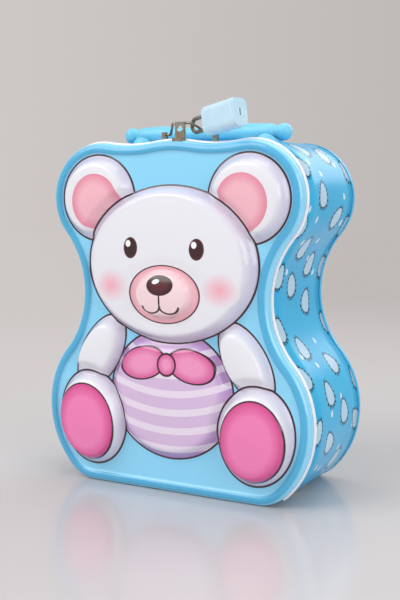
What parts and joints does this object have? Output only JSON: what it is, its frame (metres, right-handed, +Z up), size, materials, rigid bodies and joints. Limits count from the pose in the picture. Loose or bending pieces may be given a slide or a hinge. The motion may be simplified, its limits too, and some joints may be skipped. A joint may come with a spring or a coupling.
{
  "type": "tin money box",
  "caption": "Bear-shaped tinplate money box with a pressed front lid hinged at the base, a coin slot and lift handle on top, and a wire hasp with a small padlock.",
  "frame": {"origin": "middle of the flat base, on the surface that the box stands on", "axes": "+X to the box's right as seen from the front, +Y to the back, +Z up"},
  "size_m": [0.139, 0.0711, 0.1774],
  "materials": {
    "printed_tin": "gloss printed",
    "lid_print": "gloss printed",
    "blue_tin": "gloss",
    "bare_tin": "bright tinplate",
    "bright_steel": "nickel plated",
    "blue_plastic": "moulded",
    "lock_blue": "moulded gloss",
    "key_steel": "satin"
  },
  "bodies": {
    "body": {"body_band": "printed_tin", "coin_plate": "blue_tin", "back_panel": "blue_tin", "neck_ring": "bare_tin", "body_hinge_leaf": "bright_steel", "hinge_pin": "bright_steel", "hinge_rivets": "bright_steel", "hasp_lugs": "bright_steel", "handle_saddle_left": "blue_plastic", "handle_saddle_right": "blue_plastic"},
    "lid": {"lid_panel": "lid_print", "lid_hinge_leaf": "bright_steel", "hasp_strap": "bright_steel"},
    "handle": {"handle_grip": "blue_plastic", "handle_legs": "bright_steel", "handle_stops": "bright_steel"},
    "bail": {"hasp_bail": "bright_steel"},
    "shackle": {"lock_shackle": "bright_steel"},
    "padlock": {"lock_case": "lock_blue", "lock_plate": "lock_blue"},
    "key_plug": {"key_plug": "key_steel"}
  },
  "joints": [
    {"name": "lid_hinge", "type": "hinge", "parent": "body", "child": "lid", "pos_m": [0, -0.02715, 0.0013], "axis": [1, 0, 0], "range_deg": [0, 105]},
    {"name": "handle_lift", "type": "slide", "parent": "body", "child": "handle", "axis": [0, 0, 1], "range_m": [0, 0.015]},
    {"name": "bail_pivot", "type": "hinge", "parent": "body", "child": "bail", "pos_m": [0.0032, -0.0206, 0.1634], "axis": [-1, 0, 0], "range_deg": [0, 40]},
    {"name": "padlock_swing", "type": "hinge", "parent": "bail", "child": "shackle", "pos_m": [0.00953, -0.02573, 0.16693], "axis": [-0.147, 0.0535, 0.9877], "range_deg": [-20, 6]},
    {"name": "shackle_release", "type": "slide", "parent": "shackle", "child": "padlock", "axis": [0.9281, -0.3378, 0.1564], "range_m": [0, 0.005]},
    {"name": "key_turn", "type": "hinge", "parent": "padlock", "child": "key_plug", "pos_m": [0.0164, -0.02823, 0.16809], "axis": [0.9281, -0.3378, 0.1564], "range_deg": [0, 90]}
  ]
}
